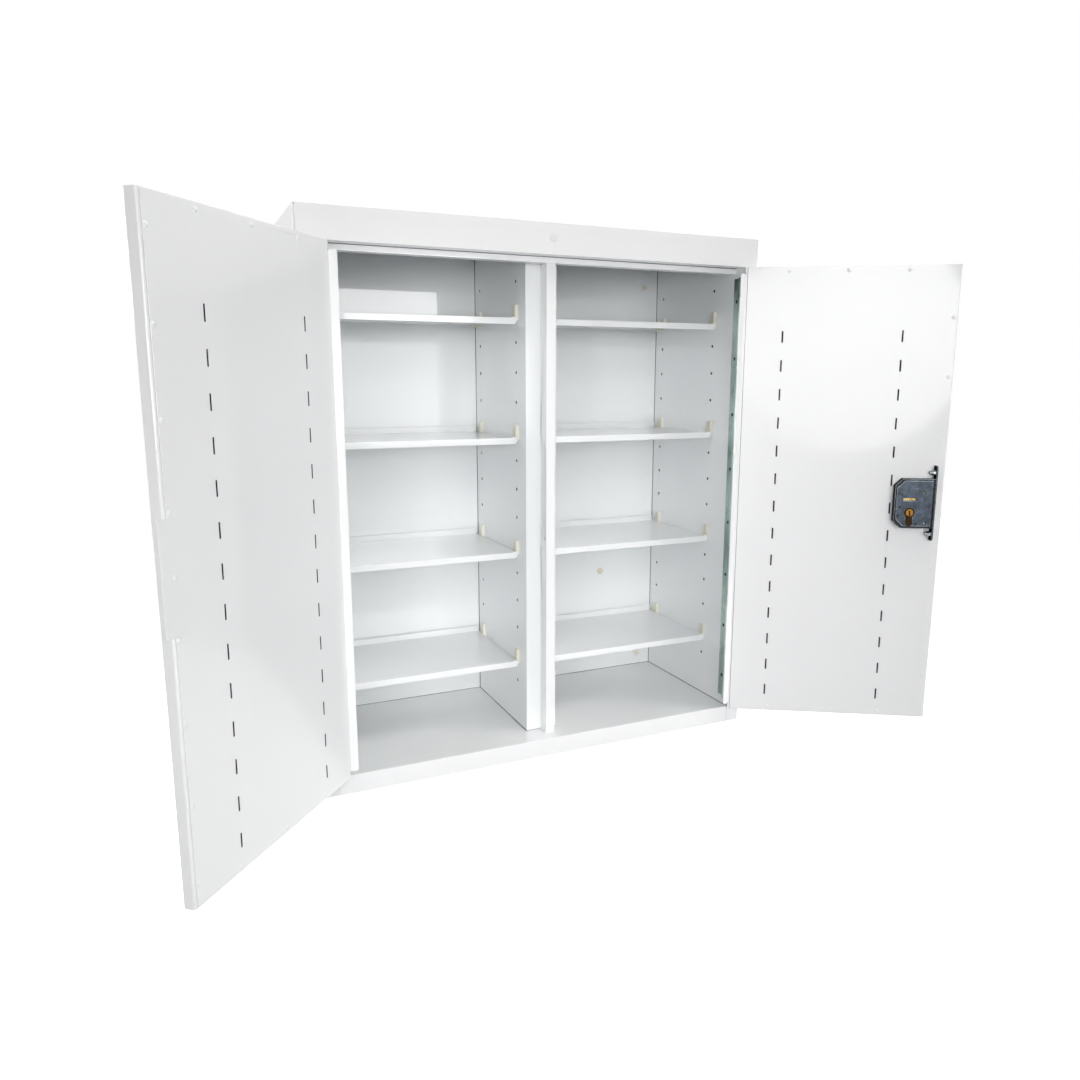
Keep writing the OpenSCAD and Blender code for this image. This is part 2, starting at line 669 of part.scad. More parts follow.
// Sloping guard along the hinge side, with round ends.
module hinge_guard() {
  t = door_sheet;
  len = norm([guard_x, guard_y]);
  low = door_bottom + guard_inset;
  high = door_top - guard_inset - 1;
  end_r = 4;
  angle = atan2(guard_y, guard_x);
  mirror([1, 0, 0]) rotate([90, 0, angle]) linear_extrude(t) {
    translate([0, low]) square([len - end_r, high - low]);
    translate([0, low + end_r]) square([len, high - low - 2 * end_r]);
    for (z = [low + end_r, high - end_r]) translate([len - end_r, z]) circle(r = end_r);
  }
}
module door_skin(side) {
  t = door_sheet;
  difference() {
    union() {
      block([0, -t, door_bottom + 1], [skin_w, 0, door_top - 1]);
      hinge_guard();
      if (side < 0) tongue();
    }
    for (s = [slot_s1, slot_s2], i = [0 : slot_count - 1]) slot(s, door_top - first_slot - i * hole_pitch);
    rivet_places(side) translate([0, cut, 0]) rotate([90, 0, 0]) cylinder(r = 1.65, h = 6);
    for (z = [door_bottom + guard_inset, door_top - guard_inset - 1])
      translate([0.6, cut, z]) rotate([90, 0, 0]) cylinder(r = 1.8, h = 3 * cut);
    if (side > 0) {
      block([forend_s - forend_t - 0.2, -t - cut, lock_z - forend_h / 2 - 0.2],
        [forend_s + 0.2, cut, lock_z + forend_h / 2 + 0.2]);
      translate([cylinder_s, cut, cylinder_z]) rotate([90, 0, 0])
        linear_extrude(3 * cut) cylinder_outline(clear);
    }
  }
}
// Tongue of the left skin: stepped inward so that it laps behind the right door.
module tongue() {
  t = door_sheet;
  d = tongue_step;
  translate([0, 0, lock_z - forend_h / 2]) linear_extrude(forend_h)
    polygon([[skin_w - 22, 0], [skin_w - 10, d], [tongue_s, d], [tongue_s, d - t],
      [skin_w - 4, d - t], [skin_w - 4, -t], [skin_w - 22, -t]]);
}
module door_rivets(side) {
  rivet_places(side) rivet();
}
module left_door_tray() { color(white) on_door(-1) door_tray(-1); }
module left_door_skin() { color(white) on_door(-1) door_skin(-1); }
module left_door_rivets() { color(white) on_door(-1) door_rivets(-1); }
module right_door_tray() { color(white) on_door(1) door_tray(1); }
module right_door_skin() { color(white) on_door(1) door_skin(1); }
module right_door_rivets() { color(white) on_door(1) door_rivets(1); }

// ---- Lock, in the door's own directions ----

// Outline of the profile cylinder, grown by g: x across, y up, centre at the plug.
module cylinder_outline(g) {
  circle(r = cylinder_r + g);
  translate([-cylinder_web / 2 - g, -cylinder_reach + cylinder_web / 2])
    square([cylinder_web + 2 * g, cylinder_reach - cylinder_web / 2]);
  translate([0, -cylinder_reach + cylinder_web / 2]) circle(r = cylinder_web / 2 + g);
}
// Outline of the case, seen along n: chamfered corners away from the forend.
module case_outline(inset) {
  c = case_chamfer;
  h = case_h / 2 - inset;
  x0 = case_s + inset;
  x1 = case_s + case_w - inset;
  polygon([[x0 + c, -h], [x1, -h], [x1, h], [x0 + c, h], [x0, h - c], [x0, -h + c]]);
}
// Stands an outline drawn in x and z up on the door, between the depths n0 and n1.
module on_skin(n0, n1) {
  translate([0, n1, lock_z]) rotate([90, 0, 0]) linear_extrude(n1 - n0) children();
}
module at_cylinder(n0, n1) {
  translate([cylinder_s, n1, cylinder_z]) rotate([90, 0, 0]) linear_extrude(n1 - n0) children();
}
// Axis of the cylinder to the screw that holds it, which passes under the path of the cam.
screw_drop = 19.5;
module lock_case() {
  color(steel) on_door(1) difference() {
    on_skin(0, case_t - cover_t) case_outline(0);
    on_skin(case_wall, case_t) case_outline(case_wall);
    at_cylinder(-cut, case_t) cylinder_outline(clear);
    // way for the bolt and for the cylinder screw through the front of the case
    block([forend_s - forend_t - 2 * case_wall, bolt_n - bolt_t / 2 - clear, bolt_z - bolt_h / 2 - clear],
      [forend_s, bolt_n + bolt_t / 2 + clear, bolt_z + bolt_h / 2 + clear]);
    translate([forend_s - 10, bolt_n, cylinder_z - screw_drop]) rotate([0, 90, 0]) cylinder(r = 2.7, h = 12);
  }
}
cover_holes = [[-22.6, 19.5, 2], [14.8, 16, 1.8], [16.6, -6.5, 1.8], [19.5, -22, 1.6], [21.3, -38, 1.8],
  [-11.8, -36.5, 1.8], [-27.5, -34, 2.2]];
cover_rivets = [[-9.3, 24.5], [-18, 6.6]];
// Cover with a raised panel; the bolt shows in its slot.
module lock_cover() {
  color(steel) on_door(1) difference() {
    union() {
      on_skin(case_t - cover_t, case_t) case_outline(0);
      on_skin(case_t, case_t + 0.8) case_outline(4);
      for (p = cover_rivets) translate([cylinder_s - p[0], case_t + 0.8, lock_z + p[1]])
        rivet(2.6, 0.9, 1.4, 0.9);
    }
    at_cylinder(0, case_t + 2 * cut) cylinder_outline(clear);
    translate([cylinder_s - 12, 0, bolt_z - 3]) cube([22, case_t + 2 * cut, 4]);
    for (h = cover_holes) translate([cylinder_s - h[0], case_t + 2 * cut, lock_z + h[1]])
      rotate([90, 0, 0]) cylinder(r = h[2], h = cover_t + 2 * cut + 1);
  }
}
forend_screw_z = forend_h / 2 - 12.5;
forend_n0 = -5;
forend_n1 = case_t + 1.5;
module lock_forend() {
  r = 6;
  color(zinc) on_door(1) difference() {
    union() {
      block([forend_s - forend_t, forend_n0, lock_z - forend_h / 2 + r],
        [forend_s, forend_n1, lock_z + forend_h / 2 - r]);
      block([forend_s - forend_t, forend_n0 + r, lock_z - forend_h / 2],
        [forend_s, forend_n1 - r, lock_z + forend_h / 2]);
      for (n = [forend_n0 + r, forend_n1 - r], z = [-1, 1])
        translate([forend_s - forend_t, n, lock_z + z * (forend_h / 2 - r)])
          rotate([0, 90, 0]) cylinder(r = r, h = forend_t);
    }
    block([forend_s - 2 * forend_t, bolt_n - bolt_t / 2 - clear, bolt_z - bolt_h / 2 - clear],
      [forend_s + cut, bolt_n + bolt_t / 2 + clear, bolt_z + bolt_h / 2 + clear]);
    for (z = [-1, 1]) translate([forend_s, bolt_n - 1.5, lock_z + z * forend_screw_z])
      rotate([0, 90, 0]) countersunk_hole(4, 2.2, 6);
    translate([forend_s, bolt_n, cylinder_z - screw_drop]) rotate([0, 90, 0]) countersunk_hole(4.4, 2.5, 6);
  }
}
// Screws through the forend, each in a tapered nut behind it.
module forend_screws() {
  nut_l = 9;
  color([0.8, 0.8, 0.82]) on_door(1) for (z = [-1, 1])
    translate([forend_s, bolt_n - 1.5, lock_z + z * forend_screw_z]) rotate([0, 90, 0]) {
      countersunk_screw(4, 2.2, forend_t + nut_l);
      translate([0, 0, -forend_t - nut_l]) difference() {
        cylinder(r1 = 2.9, r2 = 4.8, h = nut_l);
        translate([0, 0, -cut]) cylinder(r = 2.2, h = nut_l + 2 * cut);
      }
    }
}
module lock_bolt() {
  color(brass) on_door(1) difference() {
    block([cylinder_s - 14, bolt_n - bolt_t / 2, bolt_z - bolt_h / 2],
      [forend_s - clear, bolt_n + bolt_t / 2, bolt_z + bolt_h / 2]);
    // notch that the tooth of the cam turns in, above the cylinder at half travel
    block([cylinder_s - bolt_throw / 2 - notch_w / 2, 0, bolt_z - bolt_h / 2 - cut],
      [cylinder_s - bolt_throw / 2 + notch_w / 2, case_t, cylinder_z + cam_r + 1]);
  }
}
// Cylinder body with the gap in which the cam turns.
module cylinder_body() {
  color(brass) on_door(1) difference() {
    at_cylinder(-cylinder_out, cylinder_in) cylinder_outline(0);
    at_cylinder(-cylinder_out - cut, cylinder_in + cut) circle(r = plug_r + 0.05);
    at_cylinder(bolt_n - cam_t / 2 - clear, bolt_n + cam_t / 2 + clear) {
      circle(r = cylinder_r + 0.6);
      translate([-cylinder_web, -15.5]) square([2 * cylinder_web, 15.5]);
    }
    translate([cylinder_s - cylinder_web, bolt_n, cylinder_z - screw_drop]) rotate([0, 90, 0])
      cylinder(r = 2.6, h = 2 * cylinder_web);
  }
}
// Plug with a keyway at both ends.
module cylinder_plug() {
  color(brass) on_door(1) difference() {
    at_cylinder(-cylinder_out, cylinder_in) circle(r = plug_r);
    for (n = [-cylinder_out, cylinder_in - 8]) at_cylinder(n - 0.01, n + 8.01) {
      translate([-0.7, -4.6]) square([1.4, 8.2]);
      translate([-1.2, -4.6]) square([2.4, 2.2]);
    }
    at_cylinder(bolt_n - cam_t / 2, bolt_n + cam_t / 2) difference() {
      circle(r = plug_r + cut);
      circle(r = plug_r - 2);
    }
  }
}
// Cam: a ring round the plug with one tooth, which hangs down when the bolt is in.
module cylinder_cam() {
  color(zinc) on_door(1) at_cylinder(bolt_n - cam_t / 2, bolt_n + cam_t / 2) difference() {
    union() {
      circle(r = cylinder_r - 0.3);
      translate([-2.6, -cam_r]) square([5.2, cam_r]);
    }
    circle(r = plug_r - 2);
  }
}
module cylinder_screw() {
  color(zinc) on_door(1) translate([forend_s, bolt_n, cylinder_z - screw_drop]) rotate([0, 90, 0])
    countersunk_screw(4.4, 2.5, backset + 3);
}
// Round plate outside the door, round the cylinder.
module escutcheon() {
  color(zinc) on_door(1) difference() {
    at_cylinder(-door_t - escutcheon_t, -door_t) translate([0, -8]) circle(r = 24);
    at_cylinder(-door_t - escutcheon_t - cut, 0) cylinder_outline(clear);
  }
}

// ---- Assembly ----

back_panel();
cable_plug();
left_side_panel();
right_side_panel();
left_inner_wall();
right_inner_wall();
top_panel();
fascia();
fascia_plug();
top_rail();
floor_panel();
bottom_panel();
sill();
wall_grommets();
left_divider_wall();
right_divider_wall();
mullion_nose();
keep_plate();
keep_plate_screws();
shelf_left_1();
shelf_left_2();
shelf_left_3();
shelf_left_4();
shelf_right_1();
shelf_right_2();
shelf_right_3();
shelf_right_4();
left_shelf_clips();
right_shelf_clips();
left_hinge_body_leaf();
left_hinge_pin();
left_hinge_body_screws();
left_hinge_door_leaf();
left_hinge_door_screws();
right_hinge_body_leaf();
right_hinge_pin();
right_hinge_body_screws();
right_hinge_door_leaf();
right_hinge_door_screws();
left_door_tray();
left_door_skin();
left_door_rivets();
right_door_tray();
right_door_skin();
right_door_rivets();
lock_case();
lock_cover();
lock_forend();
forend_screws();
lock_bolt();
cylinder_body();
cylinder_plug();
cylinder_cam();
cylinder_screw();
escutcheon();
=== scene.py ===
# %% [markdown]
# # A lockable medicine cabinet
# The real thing is a wall cabinet folded from steel sheet and powder-coated a glossy white. Its two thick
# doors stand open on full-length hinges and show two bays of shelves. The solids already have the true
# sizes, so this lesson is about finish: rounded folds, glossy coat, plated hinge leaves, a steel lock with
# a brass cylinder, and moulded clips.

# %% Load the solids
import json
import math

import bmesh
import bpy
import numpy as np
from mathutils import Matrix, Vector


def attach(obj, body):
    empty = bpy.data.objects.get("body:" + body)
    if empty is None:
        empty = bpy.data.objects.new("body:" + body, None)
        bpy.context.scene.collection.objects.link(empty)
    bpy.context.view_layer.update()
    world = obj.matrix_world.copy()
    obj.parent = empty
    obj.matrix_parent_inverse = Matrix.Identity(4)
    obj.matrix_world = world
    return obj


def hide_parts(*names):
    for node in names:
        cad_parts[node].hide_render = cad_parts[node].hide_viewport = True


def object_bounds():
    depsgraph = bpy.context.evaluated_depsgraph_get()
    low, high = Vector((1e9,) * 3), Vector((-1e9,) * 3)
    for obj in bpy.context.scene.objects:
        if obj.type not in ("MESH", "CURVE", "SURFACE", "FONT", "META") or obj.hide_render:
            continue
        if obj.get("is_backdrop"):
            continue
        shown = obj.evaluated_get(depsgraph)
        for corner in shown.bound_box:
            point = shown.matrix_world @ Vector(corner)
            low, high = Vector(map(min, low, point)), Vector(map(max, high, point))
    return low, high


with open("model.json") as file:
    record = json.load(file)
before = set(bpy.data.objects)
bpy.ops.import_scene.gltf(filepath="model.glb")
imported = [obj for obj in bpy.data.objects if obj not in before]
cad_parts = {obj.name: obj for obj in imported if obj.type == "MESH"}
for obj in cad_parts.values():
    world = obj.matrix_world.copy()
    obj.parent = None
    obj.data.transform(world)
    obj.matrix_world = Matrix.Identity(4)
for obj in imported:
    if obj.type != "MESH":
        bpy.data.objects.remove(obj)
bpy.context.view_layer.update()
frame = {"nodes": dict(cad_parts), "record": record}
nodes = frame["nodes"]

# %% [markdown]
# ## Camera
# The camera stands a little left of the cabinet, at nearly three quarters of its height, and looks to the
# right and slightly down. The focal length is written in pixels of a square 1080 frame and changed to
# millimetres on a 36 mm sensor.

# %% Camera
def aimed_camera(place, yaw, pitch, focal_px, frame_px=1080, sensor_mm=36.0):
    """A camera without roll. It looks along (sin yaw cos pitch, cos yaw cos pitch, -sin pitch)."""
    data = bpy.data.cameras.new("Camera")
    data.sensor_width = sensor_mm
    data.lens = sensor_mm * focal_px / frame_px
    data.clip_start = 0.05
    data.clip_end = 50.0
    camera = bpy.data.objects.new("Camera", data)
    bpy.context.scene.collection.objects.link(camera)
    yaw, pitch = math.radians(yaw), math.radians(pitch)
    look = Vector((math.sin(yaw) * math.cos(pitch), math.cos(yaw) * math.cos(pitch), -math.sin(pitch)))
    camera.location = place
    camera.rotation_euler = look.to_track_quat("-Z", "Y").to_euler()
    return camera


bpy.context.scene.camera = aimed_camera((-0.5925, -1.56825, 0.2030), yaw=24.03, pitch=10.62, focal_px=849.8)
print("lens %.2f mm" % bpy.context.scene.camera.data.lens)

# %% [markdown]
# ## Light
# White paint shows its form only through soft steps of grey, and this coat is so glossy that it mirrors
# whatever stands round it. So the world is split in two: the rays that carry light meet a faint even fill,
# while the eye and every mirror see a plain white room.

# %% World
def link(tree, a, out, b, into):
    """Joins one socket to another, each by name or number."""
    tree.links.new(a.outputs[out], b.inputs[into])


def calculate(tree, operation, *values):
    """A math node fed with sockets or numbers, in their order. Returns its output socket."""
    node = tree.nodes.new("ShaderNodeMath")
    node.operation = operation
    for socket, value in zip(node.inputs, values):
        if isinstance(value, bpy.types.NodeSocket):
            tree.links.new(value, socket)
        else:
            socket.default_value = value
    return node.outputs[0]


def seen_and_lit(tree, lit, seen):
    """Mixes two shaders: the camera and mirror rays get seen, and the rays that carry light get lit."""
    path = tree.nodes.new("ShaderNodeLightPath")
    total = path.outputs["Is Camera Ray"]
    for kind in ("Is Glossy Ray", "Is Transmission Ray"):
        total = calculate(tree, "MAXIMUM", total, path.outputs[kind])
    mix = tree.nodes.new("ShaderNodeMixShader")
    tree.links.new(total, mix.inputs[0])
    link(tree, lit, 0, mix, 1)
    link(tree, seen, 0, mix, 2)
    return mix


def make_world(fill, background):
    """A faint even fill for the light, behind which the eye and every mirror see the plain background."""
    world = bpy.data.worlds.new("Studio")
    bpy.context.scene.world = world
    world.use_nodes = True
    tree = world.node_tree
    tree.nodes.clear()
    shades = []
    for colour in (fill, background):
        shade = tree.nodes.new("ShaderNodeBackground")
        shade.inputs["Color"].default_value = (*colour, 1)
        shades.append(shade)
    link(tree, seen_and_lit(tree, *shades), 0, tree.nodes.new("ShaderNodeOutputWorld"), 0)


make_world(fill=(0.03, 0.032, 0.035), background=(1, 1, 1))
print("world ready")

# %% [markdown]
# ## Lamps
# A round softbox left of the centre is the bright disc in the upper half of the right door, and a small
# flat one right of the centre is what the back panels mirror. The others mostly model the folds, and three
# behind the cabinet light its sides and its back. A photographer keeps the top of a cabinet from burning
# out with grids, which hold a lamp's light in a narrow cone: here the cone is the lamp's spread, and most
# of the grids are aimed at the lower half.

# %% Lamps
CENTRE = (0, -0.15, 0)
LOW = (0, -0.15, -0.35)


def softbox(name, azimuth, elevation, width, height, radiance, aim=CENTRE, spread=180, distance=3.2):
    """An area lamp of the given radiance that faces aim, placed by its direction from the centre.

    Azimuth 0 is straight in front and grows to the right, both angles in degrees. Height 0 makes it a
    round lamp of diameter width. An even lamp of radiance L and area A gives pi L A watts.
    """
    az, el = math.radians(azimuth), math.radians(elevation)
    way = Vector((math.sin(az) * math.cos(el), -math.cos(az) * math.cos(el), math.sin(el)))
    data = bpy.data.lights.new(name, "AREA")
    data.shape = "RECTANGLE" if height else "DISK"
    data.size = width
    data.size_y = height or width
    area = width * height or math.pi * width ** 2 / 4
    data.energy = math.pi * area * radiance
    data.spread = math.radians(spread)
    lamp = bpy.data.objects.new(name, data)
    bpy.context.scene.collection.objects.link(lamp)
    lamp.location = Vector(CENTRE) + distance * way
    lamp.rotation_euler = (Vector(aim) - lamp.location).to_track_quat("-Z", "Y").to_euler()


# name, azimuth, elevation, width, height, radiance, and aim and spread where a grid narrows the light
softbox("disc", -8, 7, 1.13, 0, 1.6)
softbox("disc_grid", -8, 7, 1.13, 0, 0.42, LOW, 45)
softbox("left_side", -30, 3, 1.2, 0.5, 5.6)
softbox("left_grid", -35, 3, 1.2, 0.5, 0.54, LOW, 45)
softbox("far_left_grid", -72, 32, 1.2, 0.9, 0.4, (-0.5, -0.4, 0.4), 50)
softbox("centre_grid", -10, 24, 1.2, 0.7, 0.47, LOW, 45)
softbox("strip", 11.5, 11, 0.66, 0.28, 8.5)
softbox("right_front", 12, 3, 1.2, 0.5, 2.5)
softbox("right_overhead", 18, 48, 1.2, 0.7, 0.26, (0, -0.15, -0.45), 35)
softbox("right_top", 52, 50, 1.2, 1.2, 7.7)
softbox("right_floor", 52, -25, 1.2, 0.9, 10.6)
for name, azimuth, elevation in (("back_left", -128, 20), ("back_right", 128, 20), ("back_top", 180, 40)):
    softbox(name, azimuth, elevation, 1.4, 1.4, 5.0)

# %% [markdown]
# ## Floor
# The camera looks slightly down, so the lower parts of the glossy doors mirror the floor. It looks nearly
# white there, but to the light it is a dull grey, so that little light comes up from below.

# %% Floor
def flat_floor(height, size):
    """A square plate at the given height, nearly white to the eye and a dull grey to the light."""
    mesh = bpy.data.meshes.new("floor")
    half = size / 2
    square = [(-half, -half, height), (half, -half, height), (half, half, height), (-half, half, height)]
    mesh.from_pydata(square, [], [(0, 1, 2, 3)])
    floor = bpy.data.objects.new("floor", mesh)
    bpy.context.scene.collection.objects.link(floor)
    floor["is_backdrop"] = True
    material = bpy.data.materials.new("pale_floor")
    material.use_nodes = True
    tree = material.node_tree
    shader = tree.nodes["Principled BSDF"]
    shader.inputs["Base Color"].default_value = (0.97, 0.97, 0.97, 1)
    shader.inputs["Roughness"].default_value = 0.9
    shader.inputs["Emission Color"].default_value = (1, 1, 1, 1)
    shader.inputs["Emission Strength"].default_value = 0.97
    dull = tree.nodes.new("ShaderNodeBsdfDiffuse")
    dull.inputs["Color"].default_value = (0.26, 0.285, 0.31, 1)
    link(tree, seen_and_lit(tree, dull, shader), 0, tree.nodes["Material Output"], 0)
    mesh.materials.append(material)


FLOOR_HEIGHT = -1.25
flat_floor(FLOOR_HEIGHT, size=14)
print("floor at", FLOOR_HEIGHT, "m")

# %% [markdown]
# ## Finishes
# Each finish is a small node tree on the object's own coordinates, in metres, so a pattern keeps its real
# size and stays on its piece. Constants are set on the shader itself.

# %% Helpers for finishes
def blank(name, colour, metallic, roughness):
    """A new material with its Principled shader set; returns the material, its tree and its shader."""
    material = bpy.data.materials.new(name)
    material.use_nodes = True
    shader = material.node_tree.nodes["Principled BSDF"]
    shader.inputs["Base Color"].default_value = (*colour, 1)
    shader.inputs["Metallic"].default_value = metallic
    shader.inputs["Roughness"].default_value = roughness
    material.diffuse_color = (*colour, 1)
    return material, material.node_tree, shader


def noise(tree, scale, detail, stretch=(1, 1, 1)):
    """Noise on object coordinates, with stretch as the scale of each axis."""
    where = tree.nodes.new("ShaderNodeTexCoord")
    mapping = tree.nodes.new("ShaderNodeMapping")
    mapping.inputs["Scale"].default_value = stretch
    pattern = tree.nodes.new("ShaderNodeTexNoise")
    pattern.inputs["Scale"].default_value = scale
    pattern.inputs["Detail"].default_value = detail
    link(tree, where, "Object", mapping, "Vector")
    link(tree, mapping, 0, pattern, "Vector")
    return pattern


def ramp(tree, source, low, high):
    """A colour ramp: low where the source's first output is below 0.3, high where it is above 0.7."""
    blend = tree.nodes.new("ShaderNodeValToRGB")
    for stop, position, colour in zip(blend.color_ramp.elements, (0.3, 0.7), (low, high)):
        stop.position = position
        stop.color = (*colour, 1)
    link(tree, source, 0, blend, 0)
    return blend


def bump(tree, source, shader, strength, distance):
    """Raises the surface by the source's value times distance, in metres."""
    raised = tree.nodes.new("ShaderNodeBump")
    raised.inputs["Strength"].default_value = strength
    raised.inputs["Distance"].default_value = distance
    link(tree, source, 0, raised, "Height")
    link(tree, raised, 0, shader, "Normal")


print("helpers: blank, noise, ramp, bump")

# %% [markdown]
# ## Powder coat
# Stoving paint flows a little before it sets. It keeps a fine ripple, called orange peel, under a clear
# gloss, and its white is faintly cloudy.

# %% Powder coat
def powder_coat(name, colour, coat_roughness=0.05, peel=0.06):
    """Glossy white paint: clouds three tenths of a metre wide, and a ripple of a few millimetres."""
    material, tree, shader = blank(name, colour, metallic=0.0, roughness=0.28)
    shader.inputs["Coat Weight"].default_value = 0.8
    shader.inputs["Coat Roughness"].default_value = coat_roughness
    shader.inputs["Coat IOR"].default_value = 1.5
    cloud = noise(tree, scale=3.5, detail=4.0)
    tint = ramp(tree, cloud, [c * 0.975 for c in colour], [min(1, c * 1.01) for c in colour])
    link(tree, tint, 0, shader, "Base Color")
    bump(tree, noise(tree, scale=420, detail=2.0), shader, strength=peel, distance=0.0006)
    return material


DOOR_WHITE = (0.903, 0.90, 0.90)
body_paint = powder_coat("body_paint", (0.908, 0.905, 0.905))
door_paint = powder_coat("door_paint", DOOR_WHITE)
shelf_paint = powder_coat("shelf_paint", (0.895, 0.905, 0.91), coat_roughness=0.01, peel=0.01)
print("paints:", body_paint.name, door_paint.name, shelf_paint.name)

# %% [markdown]
# ## Joints in the paint
# Where two folded sheets meet inside, a dark hairline runs along the joint: partly the open joint and
# partly painted shade of the inner corner. A mask on the object's coordinates draws it: each line is a
# plane such as x = 0.37, and the paint darkens within a millimetre of it. Under the fascia the rail has
# such a line, a painted shadow of the fascia, and the skin of the right door has a finer one beside its
# hinge, where the sheet is folded, a painted shadow of the fold. Inside the cabinet light also bounces
# many times, and the inside paint is tinted a barely blue white, painted shade that looks cool in the
# corners.

# %% Paint of the inside, with joints
# the dark of the hairlines: partly open joints, partly painted shade in corners and under edges
JOINT_SHADE_COLOUR = (0.06, 0.08, 0.10)


def joint_and_shade_paint(name, colour, lines, width=0.0009, coat_roughness=0.01, peel=0.01):
    """Powder coat with a dark hairline, partly joint and partly painted shade, along each plane in lines,
    given as (axis, position, span).

    The axis is a letter or a direction, and a hairline lies only where y is within its span.
    """
    material = powder_coat(name, colour, coat_roughness, peel)
    tree = material.node_tree
    shader = tree.nodes["Principled BSDF"]
    where = tree.nodes.new("ShaderNodeTexCoord")
    split = tree.nodes.new("ShaderNodeSeparateXYZ")
    link(tree, where, "Object", split, 0)
    mask = None
    for axis, position, span in lines:
        if axis in ("X", "Y", "Z"):
            measure = split.outputs[axis]
        else:
            slanted = tree.nodes.new("ShaderNodeVectorMath")
            slanted.operation = "DOT_PRODUCT"
            slanted.inputs[1].default_value = axis
            link(tree, where, "Object", slanted, 0)
            measure = slanted.outputs["Value"]
        line = calculate(tree, "COMPARE", measure, position, width)
        if span is not None:
            middle, half = (span[0] + span[1]) / 2, (span[1] - span[0]) / 2
            within = calculate(tree, "COMPARE", split.outputs["Y"], middle, half)
            line = calculate(tree, "MULTIPLY", line, within)
        mask = line if mask is None else calculate(tree, "MAXIMUM", mask, line)
    mix = tree.nodes.new("ShaderNodeMix")
    mix.data_type = "RGBA"
    tint = shader.inputs["Base Color"].links[0].from_socket
    tree.links.new(mask, mix.inputs["Factor"])
    tree.links.new(tint, mix.inputs["A"])
    mix.inputs["B"].default_value = (*JOINT_SHADE_COLOUR, 1)
    tree.links.new(mix.outputs["Result"], shader.inputs["Base Color"])
    return material


def corners(mesh):
    """The vertices of a mesh as an array of points."""
    points = np.empty(len(mesh.vertices) * 3)
    mesh.vertices.foreach_get("co", points)
    return points.reshape(-1, 3)


def box_of(points):
    """Lowest and highest corner of an array of points."""
    return points.min(axis=0), points.max(axis=0)


def extent(name):
    """Lowest and highest corner of a solid, in metres."""
    return box_of(corners(nodes[name].data))


def plan_of(mesh):
    """An upright sheet seen from above: its points, and the direction in which they lie."""
    points = corners(mesh)[:, :2]
    return points, np.linalg.svd(points - points.mean(0), full_matrices=False)[2][0]


wall_x = extent("right_inner_wall")[0][0]
divider_x = extent("right_divider_wall")[1][0]
divider_y = extent("right_divider_wall")[0][1]
back_y = extent("back_panel")[0][1]
floor_z = extent("floor_panel")[1][2]
front_y = extent("fascia")[0][1]
fascia_low = extent("fascia")[0][2]
inside = back_y / 2    # the rear face of the back panel lies beyond it, and has no joints
print("joints at x = %.4f and %.4f, floor at z = %.4f" % (wall_x, divider_x, floor_z))

# %% Paints with joint lines, painted shade and painted light
# a barely blue white for the inside walls, top and back: painted shade, the cool tint of shaded corners
SHADE_TINTED_WHITE = (0.902, 0.922, 0.928)
# hairlines where walls and dividers meet the back and the floor: partly joint, partly painted corner shade
uprights = [("X", side * x, (start, inside))
            for side in (-1, 1) for x, start in ((wall_x, front_y), (divider_x, divider_y))]
back_paint = joint_and_shade_paint("back_paint", SHADE_TINTED_WHITE, uprights + [("Z", floor_z, (front_y, inside))])
# the floor is painted a lighter white than the body: painted light on the inside floors
floor_lightened_paint = joint_and_shade_paint("floor_lightened_paint", (0.925, 0.932, 0.93), uprights)
wall_paint = joint_and_shade_paint("wall_paint", SHADE_TINTED_WHITE, [("Y", back_y, None), ("Z", floor_z, None)])
# the fascia is painted a little darker than the body: painted shade, the light falling off towards the top
fascia_shaded_paint = powder_coat("fascia_shaded_paint", (0.885, 0.88, 0.88))
# the rail is painted lighter than the body as painted light, and its line at the fascia's lower edge is a
# painted shadow of the fascia
rail_light_and_shadow_paint = joint_and_shade_paint("rail_light_and_shadow_paint", (0.96, 0.96, 0.96), [("Z", fascia_low, None)])

FOLD = 0.0125    # from the edge of the skin at the hinge to its fold
skin_points, away = plan_of(nodes["right_door_skin"].data)
away *= np.sign(away[0])
# the fine dark line along the fold of the right door's skin is a painted shadow of the fold
fold = ((*away, 0), (skin_points @ away).min() + FOLD, None)
skin_paint = joint_and_shade_paint("skin_paint", DOOR_WHITE, [fold], width=0.0004, coat_roughness=0.05, peel=0.06)
print("fold of the door skin lies along", [round(v, 3) for v in away])

# %% [markdown]
# ## Metals and plastics
# Zinc plate, brass and lock steel are never one even tone. Their colour wanders between two tones
# with a noise, and a finer noise moves the gloss and dents the surface. The two dull ones, lock_shadow and
# hollow_shade, are painted shade for what lies in shadow, and the plastics have a fine matt grain instead.

# %% Metals and plastics
def plated(name, low, high, roughness, scale=60, stretch=(1, 1, 1), metallic=1.0):
    """Plated sheet: the colour wanders between two tones, and so does the gloss."""
    material, tree, shader = blank(name, [(a + b) / 2 for a, b in zip(low, high)], metallic, roughness)
    cloud = noise(tree, scale, 5.0, stretch)
    link(tree, ramp(tree, cloud, low, high), 0, shader, "Base Color")
    gloss = noise(tree, scale * 4, 3.0, stretch)
    matt = ramp(tree, gloss, [roughness * 0.75] * 3, [min(1, roughness * 1.3)] * 3)
    link(tree, matt, 0, shader, "Roughness")
    bump(tree, gloss, shader, strength=0.2, distance=0.0002)
    return material


def plastic(name, low, high, roughness):
    """Moulded plastic with a fine matt grain."""
    material, tree, shader = blank(name, high, 0.0, roughness)
    link(tree, ramp(tree, noise(tree, 40, 3.0), low, high), 0, shader, "Base Color")
    bump(tree, noise(tree, 300, 2.0), shader, strength=0.1, distance=0.0003)
    return material


